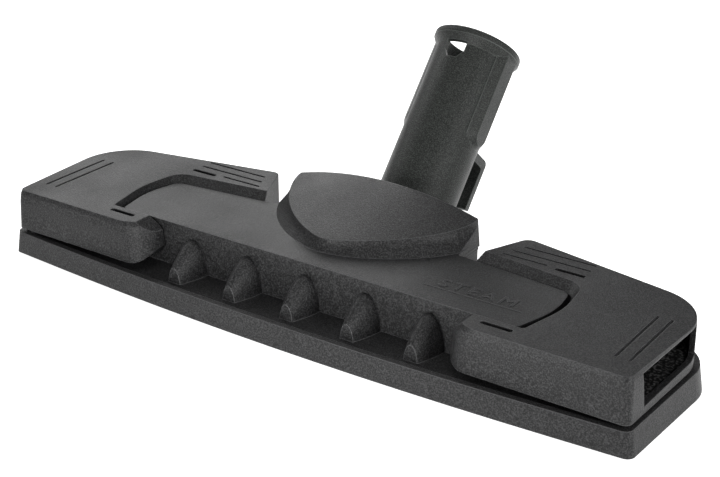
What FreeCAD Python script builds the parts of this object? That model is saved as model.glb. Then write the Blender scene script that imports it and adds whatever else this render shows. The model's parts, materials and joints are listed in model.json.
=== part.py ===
"""Steam floor nozzle: a long sole, a raised cover with a hood, two sprung cloth clamps and a tilting neck.

Frame: +X along the length, +Y towards the back, +Z up, origin on the floor under the middle of the sole.
Every size is a cell of the sheet Sizes, in millimetres and degrees.
"""
import FreeCAD, Part
import math
import os

from FreeCAD import Placement, Rotation, Vector

OUT = "parts"
X_AXIS = Vector(1, 0, 0)
Y_AXIS = Vector(0, 1, 0)
Z_AXIS = Vector(0, 0, 1)

SIZES = {
    # sole
    "sole_half_low": 156.6, "sole_half_top": 154.9, "sole_front_low": -57.6, "sole_front_top": -57.0,
    "sole_bow": 5.2, "sole_high": 10.5, "sole_wall": 2.6, "deck_top": 9.3, "deck_under": 7.0,
    "rear_y": 29.8, "rear_x": 69.4, "rear_slope": -0.184, "tongue_half": 31.0, "tongue_back": 54.6,
    "tongue_top": 6.0,
    # steam plate and its gasket
    "plate_low": 1.8, "plate_high": 3.6, "rib_wide": 3.0, "rib_pitch": 10.0, "plate_gap": 0.4,
    "jet_r": 1.2, "jet_pitch": 20.0, "gasket_wide": 2.4,
    "chamber_half": 120.0, "chamber_front": -31.0, "chamber_back": -9.0,
    # cover and hood
    "cover_front": -41.5, "cover_half": 104.6, "cover_back": -2.3, "cover_cheek": 4.0, "cover_wall": 2.3,
    "cover_top_front": 29.8, "cover_fall_angle": 2.1, "rear_gap_half": 43.6,
    "hood_half": 46.9, "hood_deep": 46.0, "hood_back": 20.6, "hood_shift": -1.1, "hood_wall_back": 22.0,
    "crown_r": 178.0, "crown_front": 34.4, "crown_front_y": -26.5, "crown_lean": 11.6,
    # gripping teeth on the front deck
    "tooth_pitch": 30.3, "tooth_shift": 1.6, "tooth_wide": 14.0, "tooth_high": 15.8, "tooth_deep": 14.0,
    # cloth clamps
    "clamp_top": 31.0, "clamp_low": 12.3, "clamp_wall": 2.2,
    "clamp_half_low": 154.1, "clamp_half_top": 152.5,
    "clamp_front_low": -56.4, "clamp_front_top": -54.8, "clamp_corner": 25.0,
    "nose_low": 75.0, "nose_top": 78.6, "nose_r": 12.0, "well_gap": 0.8,
    "pivot_out": 95.0, "pivot_high": 17.0, "clamp_pin_r": 2.0, "pin_play": 0.05,
    "groove_wide": 1.3, "groove_deep": 0.7, "slot_long": 13.6, "slot_wide": 2.4, "jaw_thick": 2.2,
    "spring_r": 3.6, "spring_wire": 0.9, "spring_turns": 6.0, "spring_x": 74.0, "spring_y": 17.0,
    # neck and its joint
    "neck_lean": 41.0, "joint_back": 38.2, "joint_high": 20.0, "neck_r": 18.3, "neck_wall": 2.3,
    "neck_top": 89.9, "neck_foot": 9.5, "socket_floor": 40.0, "flange_r": 21.0,
    "flange_thick": 3.0, "flange_cone": 4.0,
    "barrel_r": 10.4, "barrel_half": 18.5, "journal_r": 7.0, "journal_end": 25.8, "spigot_end": 36.5,
    "steam_r": 4.2, "rail_out": 19.8, "rail_face": 4.6, "rail_base": 8.2, "rail_low": 39.2,
    "hook_in": 25.3, "hook_out": 28.4, "hook_half": 12.0, "hook_low": 18.5, "hook_high": 44.0,
    "lock_wide": 10.4, "lock_low": 75.4, "lock_high": 83.6, "lock_shift": -0.9,
    # bearings, elbow and screws
    "bush_r": 8.8, "bush_in": 19.2, "bush_out": 25.4, "cap_r": 10.2, "ear_half": 14.0, "ear_thick": 3.0,
    "elbow_r": 9.3, "elbow_pipe": 6.0, "elbow_x": -36.6, "elbow_y": -20.0, "seal_wire": 1.5, "seal_x": -32.6,
    "screw_r": 1.5, "screw_head": 3.1, "screw_head_high": 1.5, "screw_long": 18.0, "boss_r": 3.6,
    "cap_screw_r": 1.2, "cap_screw_head": 1.8, "cap_screw_y": 12.2,
}

doc = FreeCAD.newDocument("floor_nozzle")
sheet = doc.addObject("Spreadsheet::Sheet", "Sizes")
for row, (alias, value) in enumerate(SIZES.items(), start=1):
    sheet.set(f"A{row}", alias)
    sheet.set(f"B{row}", str(value))
    sheet.setAlias(f"B{row}", alias)
doc.recompute()

NODES = {}


def size(alias):
    """The value of one cell of the sheet."""
    return float(sheet.get(alias))


def keep(name, obj):
    """Registers a finished sub-part under its node name."""
    obj.Label = name
    NODES[name] = obj
    return obj


def bind(obj, **cells):
    """Binds properties of obj to formulas over the sheet's cells."""
    for prop, formula in cells.items():
        obj.setExpression(prop, formula)
    return obj


def cylinder(name, radius, height, place, turn=None):
    """A Part::Cylinder with bound radius and height; it runs along Z before turn."""
    obj = bind(doc.addObject("Part::Cylinder", name), Radius=radius, Height=height)
    obj.Placement = Placement(place, turn or Rotation())
    return obj


def box(name, length, width, height, place):
    """A Part::Box with bound edges, from its lowest corner."""
    obj = bind(doc.addObject("Part::Box", name), Length=length, Width=width, Height=height)
    obj.Placement = Placement(place, Rotation())
    return obj


def fuse(name, pieces):
    obj = doc.addObject("Part::MultiFuse", name)
    obj.Shapes = pieces
    return obj


def cut(name, base, tool):
    obj = doc.addObject("Part::Cut", name)
    obj.Base = base
    obj.Tool = tool
    return obj


def feature(name, shape):
    """A Part::Feature for a form that no primitive or body makes."""
    obj = doc.addObject("Part::Feature", name)
    obj.Shape = shape
    return obj


def rounded(corners):
    """Curves of a closed outline: straight runs joined by tangent arcs. A corner is (x, y, radius)."""
    points = [Vector(x, y, 0) for x, y, _ in corners]
    arcs = []
    for i, (_, _, radius) in enumerate(corners):
        here, before, after = points[i], points[i - 1], points[(i + 1) % len(points)]
        back, on = (before - here).normalize(), (after - here).normalize()
        half = back.getAngle(on) / 2
        reach = radius / math.tan(half)
        middle = (back + on).normalize()
        through = here + middle * (radius / math.sin(half) - radius)
        arcs.append((here + back * reach, through, here + on * reach))
    curves = []
    for i, (start, through, end) in enumerate(arcs):
        if (end - start).Length > 1e-6:
            curves.append(Part.Arc(start, through, end))
        following = arcs[(i + 1) % len(arcs)][0]
        if (following - end).Length > 1e-6:
            curves.append(Part.LineSegment(end, following))
    return curves


def face_at(corners, z):
    wire = Part.Wire(Part.__sortEdges__([c.toShape() for c in rounded(corners)]))
    wire.translate(Vector(0, 0, z))
    return Part.Face(wire)


def slab(corners, low, high):
    """An upright prism over a rounded outline."""
    return face_at(corners, low).extrude(Vector(0, 0, high - low))


def both_sides(right):
    """Closes a right-hand list of corners, front to back, with its mirror image."""
    return right + [(-x, y, r) for x, y, r in reversed(right) if abs(x) > 1e-6]


def brick(x0, x1, y0, y1, z0, z1):
    """A plain block between two opposite corners."""
    return Part.makeBox(x1 - x0, y1 - y0, z1 - z0, Vector(x0, y0, z0))


def rod(radius, start, direction, length):
    return Part.makeCylinder(radius, length, start, direction)


def mirrored(shape):
    return shape.mirror(Vector(0, 0, 0), X_AXIS)


def new_body(name):
    return doc.addObject("PartDesign::Body", name)


def plan_sketch(body, name, outlines, z):
    """A sketch on the body's XY plane, lifted to z, that holds closed outlines."""
    sketch = body.newObject("Sketcher::SketchObject", name)
    plane = [p for p in body.Origin.OriginFeatures if p.Role == "XY_Plane"][0]
    sketch.AttachmentSupport = [(plane, "")]
    sketch.MapMode = "FlatFace"
    sketch.AttachmentOffset = Placement(Vector(0, 0, z), Rotation())
    for curves in outlines:
        sketch.addGeometry(curves, False)
    return sketch


def pad(body, name, outlines, z, length, taper=None):
    made = body.newObject("PartDesign::Pad", name)
    made.Profile = plan_sketch(body, name + "_sketch", outlines, z)
    made.setExpression("Length", length)
    if taper:
        made.setExpression("TaperAngle", taper)
    return made


def pocket(body, name, outlines, z, length, upward=False):
    made = body.newObject("PartDesign::Pocket", name)
    made.Profile = plan_sketch(body, name + "_sketch", outlines, z)
    made.Reversed = upward
    made.setExpression("Length", length)
    return made


def circles(centres, radius):
    return [[Part.Circle(Vector(x, y, 0), Z_AXIS, radius)] for x, y in centres]


# ---------------------------------------------------------------- outlines

def rear_line(x, out):
    """Depth of the swept rear edge at one x, moved out by some distance."""
    return size("rear_y") + out + size("rear_slope") * (x - size("rear_x"))


def sole_outline(inset, level=0.0):
    """Plan of the sole at its foot (level 0) or rim (level 1): bowed front, swept rear, a tongue behind."""
    half = size("sole_half_low") + level * (size("sole_half_top") - size("sole_half_low")) - inset
    front = size("sole_front_low") + level * (size("sole_front_top") - size("sole_front_low")) + inset
    out = 3.2 - level * 1.2
    tongue, back = size("tongue_half") - inset, size("tongue_back") - inset
    corner = half + 2.8 + out * 0.3
    return both_sides([
        (0, front - 2 * size("sole_bow"), 1900), (half, front, 3.6),
        (corner, rear_line(corner, 0.6 - inset), 21.0 - inset), (68.0, rear_line(68.0, 0.6 - inset), 8.0),
        (tongue + 9, 28.6 - inset, 5.0), (tongue, back - 10, 5.0), (tongue - 8, back, 4.0),
    ])


def cover_outline(inset):
    """Plan of the cover: straight front, bulging ends, slanting back and the narrow part under the hood."""
    half, front, back = size("cover_half") - inset, size("cover_front") + inset, size("cover_back") - inset
    post, shift = size("hood_half") + 1.6 - inset, size("hood_shift")
    cheek, rear = size("cover_cheek") - inset, size("hood_wall_back") - inset
    ends = [(half - 4.4, front, 2.5), (half + 1.0, -20.0, 45.0), (half - 2.2, back, 4.6)]
    middle = [(shift + post, cheek, 1.0), (shift + post - 0.6, rear, 1.2),
              (shift - post + 0.6, rear, 1.2), (shift - post, cheek, 1.0)]
    return ends + middle + [(-x, y, r) for x, y, r in reversed(ends)]


def clamp_outline(level, inset=0.0):
    """Plan of the right clamp without its well, from its foot (level 0) to its top face (level 1)."""
    front = size("clamp_front_low") + level * (size("clamp_front_top") - size("clamp_front_low")) + inset
    half = size("clamp_half_low") + level * (size("clamp_half_top") - size("clamp_half_low")) - inset
    nose = size("nose_low") + level * (size("nose_top") - size("nose_low")) + inset
    corner = 157.0 - inset
    return [
        (nose, front, size("nose_r") - inset), (half, front, 3.0), (corner, rear_line(corner, -1.0 - inset),
                                                                   size("clamp_corner") - inset),
        (66.6 + inset, rear_line(66.6, -0.6 - inset), 4.5), (55.4 + inset, 3.2, 1.5), (nose, -37.0, 1.5),
    ]


# ---------------------------------------------------------------- sole

SCREW_SPOTS = [(x, y) for x in (-62.0, 62.0) for y in (-35.0, -5.0)] + [(-20.0, -35.0), (20.0, -35.0)]
CAP_SIDES = (-1, 1)


def tooth(x):
    """A gripping tooth: a round-nosed fin that falls forward from the cover's wall to an upright facet."""
    wide, high, deep = size("tooth_wide"), size("tooth_high"), size("tooth_deep")
    foot, wall = size("deck_top") - 0.4, size("cover_front") - 0.05
    arch = [(1.0, 0.0), (0.96, 0.24), (0.86, 0.48), (0.69, 0.70), (0.42, 0.90), (0.0, 1.0)]

    def section(wide_share, high_share, y):
        half, top = wide / 2 * wide_share, high * high_share
        right = [Vector(x + half * across, y, foot + top * up) for across, up in arch]
        left = [Vector(2 * x - p.x, p.y, p.z) for p in reversed(right[:-1])]
        curve = Part.BSplineCurve()
        curve.interpolate(right + left)
        return Part.Wire([curve.toShape(), Part.LineSegment(left[-1], right[0]).toShape()])

    steps = [(1.0, 0.97, 0.0), (0.97, 1.0, 0.15), (0.86, 0.91, 0.40), (0.67, 0.70, 0.72), (0.46, 0.47, 1.0)]
    return Part.makeLoft([section(w, h, wall - deep * share) for w, h, share in steps], True, False)


def sole_body():
    """The moulded sole without its teeth and pedestals, as a PartDesign body."""
    body = new_body("sole_moulding")
    loft = body.newObject("PartDesign::AdditiveLoft", "sole_block")
    loft.Profile = plan_sketch(body, "sole_foot_sketch", [rounded(sole_outline(0, 0))], 0)
    loft.Sections = [plan_sketch(body, "sole_rim_sketch", [rounded(sole_outline(0, 1))], size("sole_high"))]
    loft.Ruled = True
    pocket(body, "deck_recess", [rounded(sole_outline(size("sole_wall"), 1))], size("sole_high"),
           "Sizes.sole_high - Sizes.deck_top")
    room = rounded(sole_outline(size("sole_wall") + 1.2, 0.5))
    pocket(body, "underside", [room], 0, "Sizes.deck_under", True)
    spots = circles(SCREW_SPOTS, size("screw_r") + 0.2)
    steam_port = circles([(size("elbow_x") - 0.4, size("elbow_y"))], size("steam_r"))
    pocket(body, "deck_holes", spots + steam_port, size("deck_top"), "Sizes.deck_top - Sizes.deck_under + 1")
    doc.recompute()
    assert abs(body.Shape.BoundBox.ZMax - size("sole_high")) < 0.1
    return body


def pedestals():
    """Two upright half-bearings on the rear tongue, bored for the bushes and the cap screws."""
    y, z = size("joint_back"), size("joint_high")
    made = []
    for side in CAP_SIDES:
        x0, x1 = sorted((side * size("bush_in"), side * size("bush_out")))
        block = brick(x0, x1, y - size("ear_half"), y + size("ear_half"), size("deck_under") - 1, z - 0.03)
        block = block.cut(rod(size("bush_r") + 0.02, Vector(x0 - 1, y, z), X_AXIS, x1 - x0 + 2))
        for across in (-1, 1):
            hole = Vector((x0 + x1) / 2, y + across * size("cap_screw_y"), z - 11)
            block = block.cut(rod(size("cap_screw_r"), hole, Z_AXIS, 20))
        made.append(block)
    return made


def make_sole():
    moulding = sole_body()
    teeth = [tooth(size("tooth_shift") + i * size("tooth_pitch")) for i in range(-2, 3)]
    half, y, z = size("bush_in") - 0.05, size("joint_back"), size("joint_high")
    barrel_room = rod(size("barrel_r") + 0.8, Vector(-half, y, z), X_AXIS, 2 * half)
    rear_room = brick(-half, half, y - 2, size("tongue_back") + 1, size("tongue_top"), z + 10)
    additions = feature("teeth_and_pedestals", Part.makeCompound(teeth + pedestals()))
    joined = fuse("sole_joined", [moulding, additions])
    rooms = feature("joint_room", barrel_room.fuse(rear_room))
    return keep("sole", cut("sole", joined, rooms))


def jet_spots():
    pitch = size("jet_pitch")
    return [(i * pitch, y) for i in range(-5, 6) for y in (-25.0, -15.0)]


def chamber_outline(grow):
    half = size("chamber_half") + grow
    front, back = size("chamber_front") - grow, size("chamber_back") + grow
    return [(-half, front, 6.0), (half, front, 6.0), (half, back, 6.0), (-half, back, 6.0)]


def make_steam_plate():
    """Flat plate in the sole's underside with rows of steam jets; it closes the steam chamber."""
    body = new_body("steam_plate")
    wall = size("sole_wall") + 1.2 + size("plate_gap")
    half = size("sole_half_top") - wall
    front = size("sole_front_top") + wall
    outline = [(0, front - 2 * size("sole_bow"), 1900), (half, front, 4.0), (half, 13.0 - wall, 20.0),
               (50.0, 22.0, 8.0)]
    curves = rounded(both_sides(outline))
    pad(body, "plate", [curves], size("plate_low"), "Sizes.plate_high - Sizes.plate_low")
    holes = circles(jet_spots(), size("jet_r")) + circles(SCREW_SPOTS, size("screw_r") + 0.2)
    ribs = []
    for i in range(-5, 2):
        y, half_rib = i * size("rib_pitch"), size("rib_wide") / 2
        reach = half - 6.0 if i < 0 else 96.0
        ribs.append(rounded([(-reach, y - half_rib, 1.0), (reach, y - half_rib, 1.0),
                             (reach, y + half_rib, 1.0), (-reach, y + half_rib, 1.0)]))
    pad(body, "ribs", ribs, 0, "Sizes.plate_low + 0.6")
    pocket(body, "jets", holes, size("plate_high"), "Sizes.plate_high + 1")
    return keep("steam_plate", body)


def make_gasket():
    """Rubber ring that seals the chamber between the steam plate and the deck."""
    body = new_body("chamber_gasket")
    outlines = [rounded(chamber_outline(size("gasket_wide"))), rounded(chamber_outline(0))]
    pad(body, "ring", outlines, size("plate_high"), "Sizes.deck_under - Sizes.plate_high")
    return keep("chamber_gasket", body)


# ---------------------------------------------------------------- cover and hood

def hood_wire(half, deep, power, z):
    """Plan of the hood at one height: a pointed oval in front, straight across the back."""
    centre_y, back, shift = size("hood_back"), size("hood_wall_back"), size("hood_shift")
    points = []
    for step in range(-8, 9):
        turn = math.radians(step * 11.25)
        across = math.copysign(abs(math.sin(turn)) ** (2 / power), turn) if step else 0.0
        along = max(math.cos(turn), 0) ** (2 / power)
        points.append(Vector(shift + half * across, centre_y - deep * along, z))
    front = Part.BSplineCurve()
    front.interpolate(points)
    left, right = points[0], points[-1]
    rear_left, rear_right = Vector(left.x, back, z), Vector(right.x, back, z)
    corners = [right, rear_right, rear_left, left]
    sides = [Part.LineSegment(start, end).toShape() for start, end in zip(corners, corners[1:])]
    return Part.Wire([front.toShape()] + sides)


def crown(drop):
    """The large tilted cylinder whose skin is the hood's top face."""
    lean = math.radians(size("crown_lean"))
    along = Vector(0, math.cos(lean), math.sin(lean))
    down = Vector(0, math.sin(lean), -math.cos(lean))
    front = Vector(size("hood_shift"), size("crown_front_y"), size("crown_front"))
    return rod(size("crown_r") - drop, front + down * size("crown_r") - along * 60, along, 220)


def hood_solid(inset, sides=()):
    """The hood as a solid: a hollow-curved skirt that narrows upward, under the crowned top face."""
    half, deep = size("hood_half") - inset, size("hood_deep") - inset
    skirt = [(6.4, 6.0, 1.72, 25.5), (4.6, 4.4, 1.70, 28.2), (3.3, 3.1, 1.66, 29.8), (2.0, 1.8, 1.60, 31.4),
             (1.0, 0.9, 1.55, 33.2), (0.4, 0.3, 1.51, 35.6), (0.0, 0.0, 1.50, 50.0)]
    wires = [hood_wire(half + wide, deep + long, power, z) for wide, long, power, z in skirt]
    solid = Part.makeLoft(wires, True, False)
    solid = solid.common(end_walls(inset))
    for side in sides:
        solid = solid.fuse(cheek(side))
    return solid.common(crown(inset))


def end_walls(inset):
    """Block between the two end walls of the hood, which lean in slightly."""
    middle, low, high = size("hood_shift"), size("hood_half") + 2.0 - inset, size("hood_half") - 0.6 - inset
    corners = [Vector(middle - low, -60, 20), Vector(middle + low, -60, 20), Vector(middle + high, -60, 46),
               Vector(middle - high, -60, 46), Vector(middle - low, -60, 20)]
    return Part.Face(Part.makePolygon(corners)).extrude(Vector(0, 110, 0))


def cheek(side):
    """The end wall of the hood: it leans back and inward from the cover up to the rim of the top face."""
    back, shift = size("hood_wall_back"), size("hood_shift") if side > 0 else -size("hood_shift")
    foot = [(28, 2.2, 1.0), (48.7, 2.2, 2.4), (48.0, back, 0.6), (28, back, 1.0)]
    head = [(28, 12.6, 1.0), (41.2, 12.6, 2.4), (46.2, back, 0.6), (28, back, 1.0)]
    wires = [face_at([(x + shift, y, r) for x, y, r in corners], z).OuterWire
             for corners, z in ((foot, 24.0), (head, 41.0))]
    solid = Part.makeLoft(wires, True, True)
    if side < 0:
        solid = mirrored(solid)
    return solid


def plateau_solid(inset):
    """The cover's flat part, whose top falls towards the back."""
    block = slab(cover_outline(inset), size("deck_top"), size("cover_top_front") + 1)
    tool = Part.makeBox(260, 110, 20, Vector(-130, -10, 0))
    tool.rotate(Vector(0, 0, 0), X_AXIS, -size("cover_fall_angle"))
    tool.translate(Vector(0, size("cover_front"), size("cover_top_front") - inset))
    return block.cut(tool)


def make_cover():
    wall = size("cover_wall")
    deck = size("deck_top")
    outside = plateau_solid(0).fuse(hood_solid(0, (1, -1))).removeSplitter()
    foot = brick(-130, 130, -60, 60, -20, deck)
    inside = plateau_solid(wall).fuse(hood_solid(wall))
    shell = outside.cut(foot).cut(inside)
    gap = size("rear_gap_half")
    opening = brick(-gap, gap, size("hood_wall_back") - 4.2, size("hood_wall_back") + 2, deck - 1, 60)
    shell = shell.cut(opening.common(crown(wall)))
    bosses = [rod(size("boss_r"), Vector(x, y, deck), Z_AXIS, 20.5).common(outside) for x, y in SCREW_SPOTS]
    shell = shell.fuse(bosses)
    for x, y in SCREW_SPOTS:
        shell = shell.cut(rod(size("screw_r"), Vector(x, y, deck - 1), Z_AXIS, 12.0))
    for side in (-1, 1):
        start = Vector(side * size("pivot_out"), -60, size("pivot_high"))
        shell = shell.cut(rod(size("clamp_pin_r") + 0.01, start, Y_AXIS, 90))
    pipe_start = Vector(size("elbow_x") - 0.4, size("elbow_y"), size("joint_high"))
    shell = shell.cut(rod(size("elbow_pipe") + 0.5, pipe_start, Y_AXIS, 50))
    return keep("body_cover", feature("body_cover", shell))


# ---------------------------------------------------------------- cloth clamps

def clamp_prism(inset, low, top):
    """The clamp's outer form between two heights, leaning in slightly and bevelled round its top."""
    foot, head = size("clamp_low"), size("clamp_top")
    levels = [(0.0, foot), (0.38, foot + 13.2), (0.62, head - 2.0), (1.0, head)]
    wires = [face_at(clamp_outline(level, inset), z).OuterWire for level, z in levels]
    solid = Part.makeLoft(wires, True, True)
    return solid.common(brick(0, 200, -80, 60, low, top))


def well(grow):
    """Room for the cover between the clamp's arms; its rear and end walls open out towards the top."""
    def ring(side, back, fore, z):
        half, front = size("cover_half") + side + grow, size("cover_front") - size("well_gap") - fore - grow
        rear, cheek_back = size("cover_back") + back + grow, size("cover_cheek") + back + grow
        corners = [(half - 4.2, front, 1.5), (half + 1.0, -20.0, 45.0), (half - 2.2, rear, 5.4 + side),
                   (20, cheek_back + (cheek_back - rear) * 0.6, 1.0), (20, front, 1.0)]
        return face_at(corners, z).OuterWire

    gap = size("well_gap")
    low, knee, top = size("clamp_low") - 1, size("clamp_top") - 3.4, size("clamp_top") + 0.2
    foot, bend = ring(gap, gap, 0, low), ring(gap + 0.9, gap + 0.2, 0, knee)
    rim = ring(gap + 3.0, gap + 4.6, 1.2, top)
    return Part.makeLoft([foot, bend], True, True).fuse(Part.makeLoft([bend, rim], True, True))


def nose_slope(under=0.0):
    """The room above the nose's end, where its top dips towards the middle of the tool."""
    edge, top, run, drop = size("nose_top") + 4.4 + 1.4 * under, size("clamp_top"), 16.0, 13.1
    corners = [Vector(edge, -60, top), Vector(edge - run, -60, top - drop), Vector(edge - run, -60, top + 1),
               Vector(edge, -60, top + 1), Vector(edge, -60, top)]
    return Part.Face(Part.makePolygon(corners)).extrude(Vector(0, 23, 0))


def mouth_opening():
    """The opening in the clamp's outer end, through which the cloth is pushed; it rises towards the back."""
    low, top, back = size("clamp_low"), size("clamp_top"), 0.6
    corners = [Vector(146, -44.6, low + 2.8), Vector(146, back, low + 4.0), Vector(146, back, top - 0.9),
               Vector(146, -46.2, top - 1.8), Vector(146, -44.6, low + 2.8)]
    return Part.Face(Part.makePolygon(corners)).extrude(Vector(24, 0, 0))


def clamp_relief():
    """Room under the two arms, so that they can dip as the outer end lifts."""
    low, nose = size("clamp_low"), size("nose_low")
    front = brick(nose - 6, nose + 9.5, -60, -41, low - 1, low + 9.5)
    front = front.cut(rod(9.5, Vector(nose + 9.5, -61, low + 9.5), Y_AXIS, 22))
    slope = Part.makePolygon([Vector(50, 0, low - 1), Vector(100, 0, low - 1), Vector(100, 0, low),
                              Vector(50, 0, low + 6.5), Vector(50, 0, low - 1)])
    rear = Part.Face(slope).extrude(Vector(0, 40, 0))
    return front, rear


def grooves():
    """Shallow finger grooves: two near the outer end and three on the rear arm."""
    top, wide, deep = size("clamp_top"), size("groove_wide"), size("groove_deep")
    made = [slab([(x - wide / 2, -43.4, 0.6), (x + wide / 2, -43.4, 0.6), (x + wide / 2, -5.2, 0.6),
                  (x - wide / 2, -5.2, 0.6)], top - deep, top + 1) for x in (141.2, 147.0)]
    for y, x0, x1 in ((21.2, 69.0, 102.5), (15.6, 66.5, 102.6), (10.6, 64.0, 85.6)):
        made.append(slab([(x0, y - wide / 2, 0.6), (x1, y - wide / 2, 0.6), (x1, y + wide / 2, 0.6),
                          (x0, y + wide / 2, 0.6)], top - deep, top + 1))
    return made


def clamp_shell():
    """The right clamp: a hollow moulding, open at its outer end and underneath, with two pivot blocks."""
    wall, low, top = size("clamp_wall"), size("clamp_low"), size("clamp_top")
    pivot_x, pivot_z = size("pivot_out"), size("pivot_high")
    outer = clamp_prism(0, low, top).cut(well(0))
    hollow = slab(clamp_outline(0.5, wall), low - 1, top - wall).cut(well(wall)).cut(nose_slope(wall))
    shell = outer.cut(hollow)
    blocks = brick(pivot_x - 4.5, pivot_x + 4.5, -54.5, 21.0, low + 0.7, pivot_z + 4.5)
    shell = shell.fuse(blocks.cut(well(0.2)))
    front_relief, rear_relief = clamp_relief()
    shell = shell.cut(front_relief).cut(rear_relief)
    pin_bore = size("clamp_pin_r") + size("pin_play")
    shell = shell.cut(rod(pin_bore, Vector(pivot_x, -54.4, pivot_z), Y_AXIS, 79))
    shell = shell.cut(mouth_opening()).cut(nose_slope())
    half_slot = size("slot_wide") / 2
    for middle, y in ((94.9, -47.6), (96.3, 9.6)):
        x0, x1 = middle - size("slot_long") / 2, middle + size("slot_long") / 2
        shell = shell.cut(slab([(x0, y - half_slot, 0.8), (x1, y - half_slot, 0.8), (x1, y + half_slot, 0.8),
                                (x0, y + half_slot, 0.8)], top - wall - 1, top + 1))
    for groove in grooves():
        shell = shell.cut(groove)
    return shell


def jaw_plate():
    """The plate that closes the clamp's block from below; its ribs press the cloth onto the sole."""
    wall = size("clamp_wall")
    low, thick = size("clamp_low") + 0.6, size("jaw_thick")
    plate = slab(clamp_outline(0.5, wall), low, low + thick)
    plate = plate.cut(brick(0, 113.5, -80, 80, 0, 60))
    ribs = [brick(x - 0.6, x + 0.6, -52.0, -3.0, low - 0.9, low + 0.2) for x in range(118, 148, 5)]
    return plate.fuse(ribs)


def clamp_spring():
    """Compression spring between the deck and the underside of the right rear arm."""
    low, high = size("deck_top") + size("spring_wire") / 2, size("clamp_top") - size("clamp_wall")
    wire_r, coil_r, turns = size("spring_wire") / 2, size("spring_r"), size("spring_turns")
    height = high - low - wire_r - 0.05
    helix = Part.makeHelix(height / turns, height, coil_r)
    section = Part.Wire(Part.Circle(Vector(coil_r, 0, 0), Y_AXIS, wire_r).toShape())
    coil = Part.Wire(helix).makePipeShell([section], True, True)
    coil.translate(Vector(size("spring_x"), size("spring_y"), low))
    return coil


def make_clamps():
    shell, plate, coil = clamp_shell(), jaw_plate(), clamp_spring()
    for side, name in ((1, "right"), (-1, "left")):
        for label, shape in (("clamp", shell), ("clamp_jaw", plate), ("clamp_spring", coil)):
            keep(f"{label}_{name}", feature(f"{label}_{name}", shape if side > 0 else mirrored(shape)))
        start = Vector(side * size("pivot_out"), -53.4, size("pivot_high"))
        pin = cylinder(f"clamp_pin_{name}", "Sizes.clamp_pin_r", "76.4 mm", start, Rotation(X_AXIS, -90))
        keep(f"clamp_pin_{name}", pin)


# ---------------------------------------------------------------- neck

def lean_back(shape):
    """Carries a shape built upright on the joint axis to the neck's resting lean."""
    shape.rotate(Vector(0, 0, 0), X_AXIS, -size("neck_lean"))
    shape.translate(Vector(0, size("joint_back"), size("joint_high")))
    return shape


def side_rail(side):
    """A flat-faced rail on the neck's flank with leaning edges and a rounded lower end."""
    out, face, base = size("rail_out"), size("rail_face"), size("rail_base")
    low, top = size("rail_low"), size("neck_top") - 0.5
    root = size("neck_r") - 2.0

    def ring(x, half, bottom):
        front, rear = Vector(x, -half, bottom + half), Vector(x, half, bottom + half)
        front_top, rear_top = Vector(x, -half, top), Vector(x, half, top)
        return Part.Wire([Part.LineSegment(front_top, front).toShape(),
                          Part.Arc(front, Vector(x, 0, bottom), rear).toShape(),
                          Part.LineSegment(rear, rear_top).toShape(),
                          Part.LineSegment(rear_top, front_top).toShape()])

    foot, head = ring(side * root, base + 0.8, low - 1.2), ring(side * out, face, low + 3.2)
    return Part.makeLoft([foot, head], True, True)


def neck_shape():
    """Socket tube with a flange, side rails, a lock window, a hanging hook and a cross barrel at its foot."""
    r, wall, top, foot = size("neck_r"), size("neck_wall"), size("neck_top"), size("neck_foot")
    flange_r, thick = size("flange_r"), size("flange_thick")
    tube = rod(r, Vector(0, 0, foot), Z_AXIS, top - foot)
    shoulder = Part.makeCone(size("barrel_r") - 1.0, r, foot - 5, Vector(0, 0, 5), Z_AXIS)
    flange = rod(flange_r, Vector(0, 0, top - thick), Z_AXIS, thick)
    flange = flange.makeFillet(0.8, [e for e in flange.Edges if e.Length > 50])
    cone = size("flange_cone")
    under = Part.makeCone(r, flange_r, cone, Vector(0, 0, top - thick - cone), Z_AXIS)
    barrel = rod(size("barrel_r"), Vector(-size("barrel_half"), 0, 0), X_AXIS, 2 * size("barrel_half"))
    journal = rod(size("journal_r"), Vector(-size("spigot_end"), 0, 0), X_AXIS,
                  size("spigot_end") + size("journal_end"))
    solid = tube.fuse([shoulder, flange, under, barrel, journal, side_rail(1), side_rail(-1)])
    solid = solid.fuse(neck_hook())
    floor = size("socket_floor")
    bore = rod(r - wall, Vector(0, 0, floor), Z_AXIS, top)
    throat = Part.makeCone(size("steam_r"), r - wall, 14, Vector(0, 0, floor - 14), Z_AXIS)
    duct = rod(size("steam_r"), Vector(0, 0, -1), Z_AXIS, floor)
    side_duct = rod(size("steam_r"), Vector(-size("spigot_end") - 1, 0, 0), X_AXIS, size("spigot_end") + 3)
    solid = solid.cut(bore.fuse([throat, duct, side_duct]))
    return solid.cut(lock_window()).cut(rear_notch())


def lock_window():
    """Window for the lance's spring button: flat above, narrowing below."""
    half, low, high = size("lock_wide") / 2, size("lock_low"), size("lock_high")
    right = [Vector(half, 0, high), Vector(half, 0, low + 3.6), Vector(half * 0.5, 0, low)]
    left = [Vector(-p.x, 0, p.z) for p in reversed(right)]
    points = right + left + right[:1]
    window = Part.Face(Part.makePolygon(points)).extrude(Vector(0, -40, 0))
    return window.translated(Vector(size("lock_shift"), 0, 0))


def rear_notch():
    """Open notch in the back of the mouth, which guides the lance's rib."""
    top = size("neck_top")
    return brick(-6.5, 6.5, 4, 40, top - 10.5, top + 2)


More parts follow.
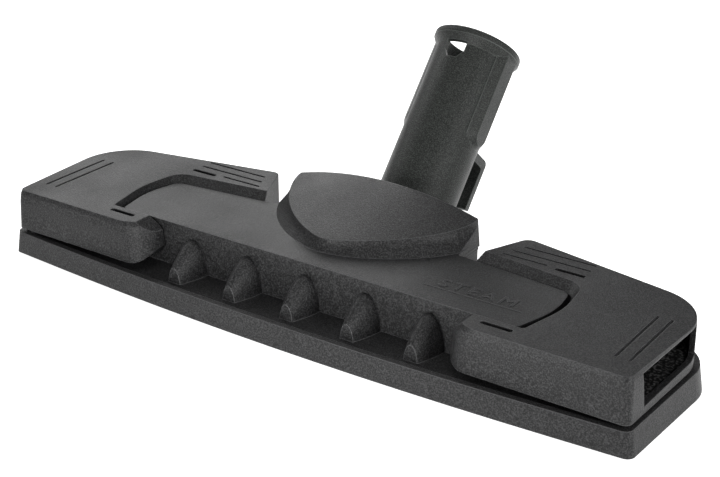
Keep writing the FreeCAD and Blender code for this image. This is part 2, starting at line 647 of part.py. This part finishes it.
def neck_hook():
    """Hanging hook behind the tube: a plate that bends over at its top and runs into the tube."""
    near, far, half = size("hook_in"), size("hook_out"), size("hook_half")
    root, low, high = size("neck_r") - 2.0, size("hook_low"), size("hook_high")
    profile = [(root, high - 4.2, 0.1), (near, high - 4.2, 1.4), (near, low, 0.8), (far, low, 0.8),
               (far, high, 2.6), (root, high, 0.1)]
    hook = slab(profile, -half, half)
    hook.rotate(Vector(0, 0, 0), Vector(1, 1, 1), 120)
    return hook


def make_neck():
    return keep("neck", feature("neck", lean_back(neck_shape())))


# ---------------------------------------------------------------- joint hardware

def make_bearings():
    y, z = size("joint_back"), size("joint_high")
    turn = Rotation(Y_AXIS, 90)
    for side, name in ((1, "right"), (-1, "left")):
        start = Vector(side * size("bush_in") if side > 0 else -size("bush_out"), y, z)
        outer = cylinder(f"bush_outer_{name}", "Sizes.bush_r", "Sizes.bush_out - Sizes.bush_in", start, turn)
        inner = cylinder(f"bush_bore_{name}", "Sizes.journal_r + Sizes.pin_play",
                         "Sizes.bush_out - Sizes.bush_in", start, turn)
        keep(f"joint_bush_{name}", cut(f"joint_bush_{name}", outer, inner))
        keep(f"bearing_cap_{name}", bearing_cap(side, name))


def bearing_cap(side, name):
    """Half-round cap with two ears that holds a bush down on its pedestal."""
    y, z = size("joint_back"), size("joint_high")
    x0 = size("bush_in") if side > 0 else -size("bush_out")
    turn = Rotation(Y_AXIS, 90)
    wide = "Sizes.bush_out - Sizes.bush_in"
    arch = cylinder(f"cap_arch_{name}", "Sizes.cap_r", wide, Vector(x0, y, z), turn)
    ears = box(f"cap_ears_{name}", wide, "2 * Sizes.ear_half", "Sizes.ear_thick",
               Vector(x0, y - size("ear_half"), z))
    below = box(f"cap_below_{name}", wide, "4 * Sizes.ear_half", "2 * Sizes.cap_r",
                Vector(x0, y - 2 * size("ear_half"), z - 2 * size("cap_r")))
    seat = cylinder(f"cap_seat_{name}", "Sizes.bush_r + 0.02", wide, Vector(x0, y, z), turn)
    middle = x0 + (size("bush_out") - size("bush_in")) / 2
    holes = [cylinder(f"cap_hole_{name}_{i}", "Sizes.cap_screw_r + 0.15", "20 mm",
                      Vector(middle, y + across * size("cap_screw_y"), z - 8))
             for i, across in enumerate((-1, 1))]
    return cut(f"bearing_cap_{name}", fuse(f"cap_solid_{name}", [arch, ears]),
               fuse(f"cap_cuts_{name}", [below, seat] + holes))


def make_elbow():
    """Steam elbow: a socket on the neck's left spigot, a run forward and a drop into the deck's port."""
    y, z, x = size("joint_back"), size("joint_high"), size("elbow_x")
    inner, outer, pipe = size("steam_r"), size("elbow_r"), size("elbow_pipe")
    mouth = -size("bush_out") - 0.3
    end = x - pipe - 0.5
    drop_y, deck = size("elbow_y"), size("deck_top")
    body = rod(outer, Vector(end, y, z), X_AXIS, mouth - end)
    body = body.fuse([rod(pipe, Vector(x - 0.4, drop_y, z), Y_AXIS, y - drop_y),
                      rod(pipe, Vector(x - 0.4, drop_y, deck), Z_AXIS, z - deck),
                      Part.makeSphere(pipe, Vector(x - 0.4, drop_y, z))])
    socket = rod(size("journal_r") + size("pin_play"), Vector(-size("spigot_end") - 0.2, y, z), X_AXIS, 20)
    groove = rod(size("journal_r") + 1.6, Vector(size("seal_x") - 0.85, y, z), X_AXIS, 1.7)
    run = rod(inner, Vector(x - 0.4, drop_y, z), Y_AXIS, y - drop_y)
    drop = rod(inner, Vector(x - 0.4, drop_y, deck - 1), Z_AXIS, z - deck + 1)
    side = rod(inner, Vector(x - 0.4, y, z), X_AXIS, 20)
    hollow = socket.fuse([groove, run, drop, side, Part.makeSphere(inner, Vector(x - 0.4, drop_y, z))])
    return keep("steam_elbow", feature("steam_elbow", body.cut(hollow)))


def make_seal():
    """O-ring in the elbow's groove, round the neck's left spigot."""
    ring = doc.addObject("Part::Torus", "joint_seal")
    bind(ring, Radius1="Sizes.journal_r + Sizes.pin_play + Sizes.seal_wire / 2")
    bind(ring, Radius2="Sizes.seal_wire / 2")
    ring.Placement = Placement(Vector(size("seal_x"), size("joint_back"), size("joint_high")),
                               Rotation(Y_AXIS, 90))
    return keep("joint_seal", ring)


def screw(name, place, radius, head, length, downward):
    """A pan-head screw as two bound cylinders; its head is at place."""
    turn = Rotation(X_AXIS, 180) if downward else Rotation()
    cap = cylinder(f"{name}_head", head, "Sizes.screw_head_high", place, turn)
    shank = cylinder(f"{name}_shank", radius, length, place, turn)
    return fuse(name, [cap, shank])


def make_screws():
    low = size("plate_low") - size("screw_head_high")
    group = [screw(f"body_screw_{i}", Vector(x, y, low), "Sizes.screw_r", "Sizes.screw_head",
                   "Sizes.screw_long", False) for i, (x, y) in enumerate(SCREW_SPOTS)]
    keep("body_screws", fuse("body_screws", group))
    middle, y = (size("bush_in") + size("bush_out")) / 2, size("joint_back")
    spots = [(side * middle, y + across * size("cap_screw_y")) for side in CAP_SIDES for across in (-1, 1)]
    top = size("joint_high") + size("ear_thick") + size("screw_head_high")
    caps = [screw(f"cap_screw_{i}", Vector(x, y, top), "Sizes.cap_screw_r", "Sizes.cap_screw_head",
                  "Sizes.screw_head_high + Sizes.ear_thick + 9", True) for i, (x, y) in enumerate(spots)]
    keep("cap_screws", fuse("cap_screws", caps))


def check():
    """Stops unless every object computed and every sub-part is a valid solid."""
    doc.recompute()
    for obj in doc.Objects:
        bad = [s for s in obj.State if s in ("Invalid", "Error")]
        if bad:
            raise SystemExit(f"{obj.Label} is {bad}")
    for name, obj in NODES.items():
        shape = obj.Shape
        if shape.isNull() or not shape.isValid() or not shape.Solids:
            raise SystemExit(f"{name} isn't a valid solid")


def write():
    os.makedirs(OUT, exist_ok=True)
    for name, obj in NODES.items():
        obj.Shape.exportStep(os.path.join(OUT, name + ".step"))
        solids = obj.Shape.Solids
        print(f"{name}: {len(solids)} solid(s), {sum(s.Volume for s in solids) / 1000:.2f} cm3")


make_sole()
make_steam_plate()
make_gasket()
make_cover()
make_clamps()
make_neck()
make_bearings()
make_elbow()
make_seal()
make_screws()
check()
write()
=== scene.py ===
"""Looks of the steam floor nozzle: camera, studio, plastics and the raised word on its cover.

Lengths are in metres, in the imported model's own frame.
"""

import json
import math

import bpy
from mathutils import Matrix, Vector


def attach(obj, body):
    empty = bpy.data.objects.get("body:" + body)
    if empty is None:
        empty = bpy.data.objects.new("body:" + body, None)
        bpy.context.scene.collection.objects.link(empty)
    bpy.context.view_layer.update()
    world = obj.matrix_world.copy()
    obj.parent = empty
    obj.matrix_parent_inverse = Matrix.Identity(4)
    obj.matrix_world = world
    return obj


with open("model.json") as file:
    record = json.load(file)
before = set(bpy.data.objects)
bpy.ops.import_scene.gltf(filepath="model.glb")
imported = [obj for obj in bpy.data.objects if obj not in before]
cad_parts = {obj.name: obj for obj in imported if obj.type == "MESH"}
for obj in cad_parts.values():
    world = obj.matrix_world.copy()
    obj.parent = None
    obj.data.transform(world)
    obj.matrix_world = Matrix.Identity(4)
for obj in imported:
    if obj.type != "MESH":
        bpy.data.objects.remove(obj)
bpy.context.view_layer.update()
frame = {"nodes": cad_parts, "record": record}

# camera: its place, its turn about Z from straight in front, and the angle at which it looks down
CAMERA_PLACE = (0.3189, -0.4595, 0.2766)
CAMERA_TURN = math.radians(34.76)
CAMERA_DIP = math.radians(24.22)
CAMERA_LENS = 70.53

# studio: a large white floor that glows a little, just under the sole, and an even sky
FLOOR_HALF = 6.0
FLOOR_DROP = 0.0006
FLOOR_GLOW = 0.85
SKY_GLOW = 0.16

# soft lights: name, place, point that it faces, width, height, watts
LIGHTS = (
    ("back_left_soft", (-0.95, 1.0, 0.85), (0.0, 0.0, 0.03), 1.0, 1.0, 10.8),
    ("top_soft", (0.1, 0.1, 1.3), (0.0, 0.0, 0.02), 0.8, 0.8, 5.0),
    ("right_soft", (0.6, -0.12, 0.2), (0.12, 0.0, 0.04), 0.25, 0.25, 2.2),
    ("front_soft", (0.02, -0.29, 0.06), (0.02, -0.05, 0.03), 0.12, 0.08, 0.6),
    ("near_soft", (0.55, -0.55, 0.45), (0.03, 0.05, 0.14), 0.2, 0.2, 0.8),
    ("left_soft", (-1.1, 0.1, 0.8), (0.0, 0.05, 0.06), 0.3, 0.5, 3.5),
)

# moulded plastic: what all its shades share
SHEEN = 0.18
GRAIN_BUMP = 0.0002
CLOUD_SCALE = 26.0
EDGE_ROUND = 0.0006
# painted edge highlight: starts where the normals' cosine drops below the first number and is full at
# the second; the next number says how many times the grain's light tone it is
EDGE_FLAT, EDGE_HIGHLIGHT_FULL = 0.995, 0.85
EDGE_HIGHLIGHT_GAIN = 2.2

# the cover's flat top, which falls towards the back
COVER_FRONT = -0.0415
COVER_FRONT_TOP = 0.0298
COVER_FALL = math.radians(2.1)

# the raised word on the right of that top, and the thin line under it
WORD = "STEAM"
WORD_X, WORD_Y = 0.0735, -0.0245
WORD_SIZE = 0.0098
WORD_SPACING = 1.28
WORD_HIGH = 0.00035
LETTER_EDGE = 0.0001
LINE_LONG, LINE_WIDE, LINE_HIGH = 0.0445, 0.0007, 0.0003
LINE_BELOW = 0.0052


# ---------------------------------------------------------------- camera and studio

def place_object(name, data):
    """A new object in the scene that holds data."""
    obj = bpy.data.objects.new(name, data)
    bpy.context.scene.collection.objects.link(obj)
    return obj


def aim(obj, place, along):
    """Puts obj at place, looking along a direction, upright."""
    turn = Vector(along).to_track_quat("-Z", "Y").to_matrix().to_4x4()
    obj.matrix_world = Matrix.Translation(place) @ turn


def make_camera():
    data = bpy.data.cameras.new("camera")
    data.lens = CAMERA_LENS
    data.sensor_width = 36.0
    data.clip_start = 0.01
    data.clip_end = 20.0
    obj = place_object("camera", data)
    level = math.cos(CAMERA_DIP)
    back = Vector((math.sin(CAMERA_TURN) * level, -math.cos(CAMERA_TURN) * level, math.sin(CAMERA_DIP)))
    aim(obj, Vector(CAMERA_PLACE), -back)
    bpy.context.scene.camera = obj


def soft_light(name, place, target, width, height, power):
    """A rectangular light that faces a point."""
    data = bpy.data.lights.new(name, "AREA")
    data.shape = "RECTANGLE"
    data.size = width
    data.size_y = height
    data.energy = power
    aim(place_object(name, data), Vector(place), Vector(target) - Vector(place))


def new_material(name):
    """An empty material with its node tree and shader."""
    made = bpy.data.materials.new(name)
    made.use_nodes = True
    return made, made.node_tree, made.node_tree.nodes["Principled BSDF"]


def make_floor():
    mesh = bpy.data.meshes.new("studio_floor")
    corners = [(x * FLOOR_HALF, y * FLOOR_HALF, 0) for x, y in ((-1, -1), (1, -1), (1, 1), (-1, 1))]
    mesh.from_pydata(corners, [], [(0, 1, 2, 3)])
    floor = place_object("studio_floor", mesh)
    floor.location.z = -FLOOR_DROP
    white, _, shader = new_material("studio_white")
    shader.inputs["Base Color"].default_value = (0.8, 0.8, 0.8, 1)
    shader.inputs["Roughness"].default_value = 0.9
    shader.inputs["Specular IOR Level"].default_value = 0.0
    shader.inputs["Emission Color"].default_value = (1, 1, 1, 1)
    shader.inputs["Emission Strength"].default_value = FLOOR_GLOW
    mesh.materials.append(white)


def make_studio():
    make_floor()
    world = bpy.data.worlds.new("studio_world")
    world.use_nodes = True
    sky = world.node_tree.nodes["Background"]
    sky.inputs["Color"].default_value = (1, 1, 1, 1)
    sky.inputs["Strength"].default_value = SKY_GLOW
    bpy.context.scene.world = world
    bpy.context.scene.view_settings.view_transform = "Standard"
    for light in LIGHTS:
        soft_light(*light)


# ---------------------------------------------------------------- materials

def noise(tree, scale, detail):
    """Noise over the piece's own coordinates."""
    place = tree.nodes.new("ShaderNodeTexCoord")
    made = tree.nodes.new("ShaderNodeTexNoise")
    made.inputs["Scale"].default_value = scale
    made.inputs["Detail"].default_value = detail
    tree.links.new(place.outputs["Object"], made.inputs["Vector"])
    return made.outputs["Fac"]


def spread(tree, source, start, end, low=0.0, high=1.0):
    """Maps source from start..end to low..high."""
    made = tree.nodes.new("ShaderNodeMapRange")
    made.inputs["From Min"].default_value = start
    made.inputs["From Max"].default_value = end
    made.inputs["To Min"].default_value = low
    made.inputs["To Max"].default_value = high
    tree.links.new(source, made.inputs["Value"])
    return made.outputs["Result"]


def blend(tree, share, first, second):
    """Mixes the colour or output first with the colour second."""
    made = tree.nodes.new("ShaderNodeMixRGB")
    tree.links.new(share, made.inputs["Fac"])
    if isinstance(first, bpy.types.NodeSocket):
        tree.links.new(first, made.inputs["Color1"])
    else:
        made.inputs["Color1"].default_value = (*first, 1)
    made.inputs["Color2"].default_value = (*second, 1)
    return made.outputs["Color"]


def painted_edge_highlight(tree, rounded):
    """Mask for the painted edge highlight: grows from 0 on flat faces to 1 at sharp edges, where the
    rounded normal leaves the true one.
    """
    flat = tree.nodes.new("ShaderNodeNewGeometry")
    match = tree.nodes.new("ShaderNodeVectorMath")
    match.operation = "DOT_PRODUCT"
    tree.links.new(rounded, match.inputs[0])
    tree.links.new(flat.outputs["Normal"], match.inputs[1])
    return spread(tree, match.outputs["Value"], EDGE_FLAT, EDGE_HIGHLIGHT_FULL)


def plastic(name, base, light, roughness, grain_scale, grain_depth, grain_span=(0.42, 0.72)):
    """Moulded plastic: fine speckled grain, slow changes of gloss, and sharp edges painted paler as a
    painted highlight.
    """
    made, tree, shader = new_material(name)
    speckle = noise(tree, grain_scale, detail=3.0)
    bevel = tree.nodes.new("ShaderNodeBevel")
    bevel.samples = 4
    bevel.inputs["Radius"].default_value = EDGE_ROUND
    rounded = bevel.outputs["Normal"]

    # sharp edges are painted paler than the grain: a painted highlight along every edge
    highlight_colour = [min(1.0, EDGE_HIGHLIGHT_GAIN * c) for c in light]
    tone = blend(tree, spread(tree, speckle, *grain_span), base, light)
    tree.links.new(blend(tree, painted_edge_highlight(tree, rounded), tone, highlight_colour), shader.inputs["Base Color"])

    cloud = noise(tree, CLOUD_SCALE, detail=4.0)
    gloss = spread(tree, cloud, start=0.3, end=0.7, low=roughness - 0.06, high=roughness + 0.08)
    tree.links.new(gloss, shader.inputs["Roughness"])

    bump = tree.nodes.new("ShaderNodeBump")
    bump.inputs["Strength"].default_value = grain_depth
    bump.inputs["Distance"].default_value = GRAIN_BUMP
    tree.links.new(speckle, bump.inputs["Height"])
    tree.links.new(rounded, bump.inputs["Normal"])
    tree.links.new(bump.outputs["Normal"], shader.inputs["Normal"])
    shader.inputs["Specular IOR Level"].default_value = SHEEN
    return made


def metal(name, base, roughness):
    """Bare metal with slightly uneven gloss."""
    made, tree, shader = new_material(name)
    shader.inputs["Metallic"].default_value = 1.0
    shader.inputs["Base Color"].default_value = (*base, 1)
    patches = noise(tree, scale=900.0, detail=2.0)
    gloss = spread(tree, patches, start=0.0, end=1.0, low=roughness - 0.08, high=roughness + 0.1)
    tree.links.new(gloss, shader.inputs["Roughness"])
    return made


def dress():
    """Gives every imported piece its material, and returns the shell's black."""
    shell = plastic("shell_black", base=(0.007, 0.007, 0.0072), light=(0.044, 0.044, 0.045),
                    roughness=0.44, grain_scale=1700.0, grain_depth=0.8)
    tube = plastic("neck_black", base=(0.012, 0.013, 0.012), light=(0.046, 0.050, 0.047),
                   roughness=0.36, grain_scale=2300.0, grain_depth=0.8, grain_span=(0.45, 0.65))
    rubber = plastic("jaw_black", base=(0.002, 0.002, 0.002), light=(0.07, 0.07, 0.07),
                     roughness=0.6, grain_scale=800.0, grain_depth=1.0, grain_span=(0.5, 0.62))
    pale = plastic("bush_natural", base=(0.42, 0.41, 0.37), light=(0.5, 0.49, 0.45),
                   roughness=0.45, grain_scale=600.0, grain_depth=0.1)
    steel = metal("steel_bright", base=(0.6, 0.6, 0.61), roughness=0.3)
    looks = {
        "sole_plastic": shell,
        "cover_plastic": shell,
        "clamp_plastic": shell,
        "plate_plastic": shell,
        "bearing_plastic": shell,
        "neck_plastic": tube,
        "bush_plastic": pale,
        "jaw_rubber": rubber,
        "seal_rubber": rubber,
        "steel": steel,
    }
    for entry in frame["record"]["subparts"]:
        for slot in frame["nodes"][entry["node"]].material_slots:
            slot.material = looks[entry["material_slot"]]
    return shell


# ---------------------------------------------------------------- lettering

def joined(name, shapes):
    """One mesh object from a list of (points, faces)."""
    points, faces = [], []
    for some_points, some_faces in shapes:
        faces += [[i + len(points) for i in face] for face in some_faces]
        points += some_points
    mesh = bpy.data.meshes.new(name)
    mesh.from_pydata(points, [], faces)
    return place_object(name, mesh)


def bar(length, width, high, slope, y):
    """A low raised bar with leaning sides."""
    corners = ((-1, -1), (1, -1), (1, 1), (-1, 1))
    points = [(sx * (length / 2 - inset), y + sy * (width / 2 - inset), z)
              for inset, z in ((0.0, -high), (slope, high)) for sx, sy in corners]
    sides = [(i, (i + 1) % 4, (i + 1) % 4 + 4, i + 4) for i in range(4)]
    return points, [(3, 2, 1, 0), (4, 5, 6, 7)] + sides


def word_shape(text, height, spacing, high):
    """Raised plain capitals, centred on the origin."""
    curve = bpy.data.curves.new("word_curve", "FONT")
    curve.body = text
    curve.size = height
    curve.space_character = spacing
    curve.align_x = "CENTER"
    curve.align_y = "CENTER"
    curve.extrude = high - LETTER_EDGE
    curve.bevel_depth = LETTER_EDGE
    curve.bevel_resolution = 1
    holder = bpy.data.objects.new("word_curve", curve)
    mesh = bpy.data.meshes.new_from_object(holder)
    shape = [tuple(v.co) for v in mesh.vertices], [list(f.vertices) for f in mesh.polygons]
    bpy.data.meshes.remove(mesh)
    bpy.data.objects.remove(holder)
    return shape


def make_lettering(look):
    """The word and its line, moulded on the cover's flat top."""
    word = word_shape(WORD, WORD_SIZE, WORD_SPACING, WORD_HIGH)
    line = bar(LINE_LONG, LINE_WIDE, LINE_HIGH, LETTER_EDGE, -LINE_BELOW)
    mark = joined("cover_mark", [word, line])
    mark.data.materials.append(look)
    top = COVER_FRONT_TOP - (WORD_Y - COVER_FRONT) * math.tan(COVER_FALL)
    mark.matrix_world = Matrix.Translation((WORD_X, WORD_Y, top)) @ Matrix.Rotation(-COVER_FALL, 4, "X")
    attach(mark, "base")


make_camera()
make_studio()
make_lettering(dress())
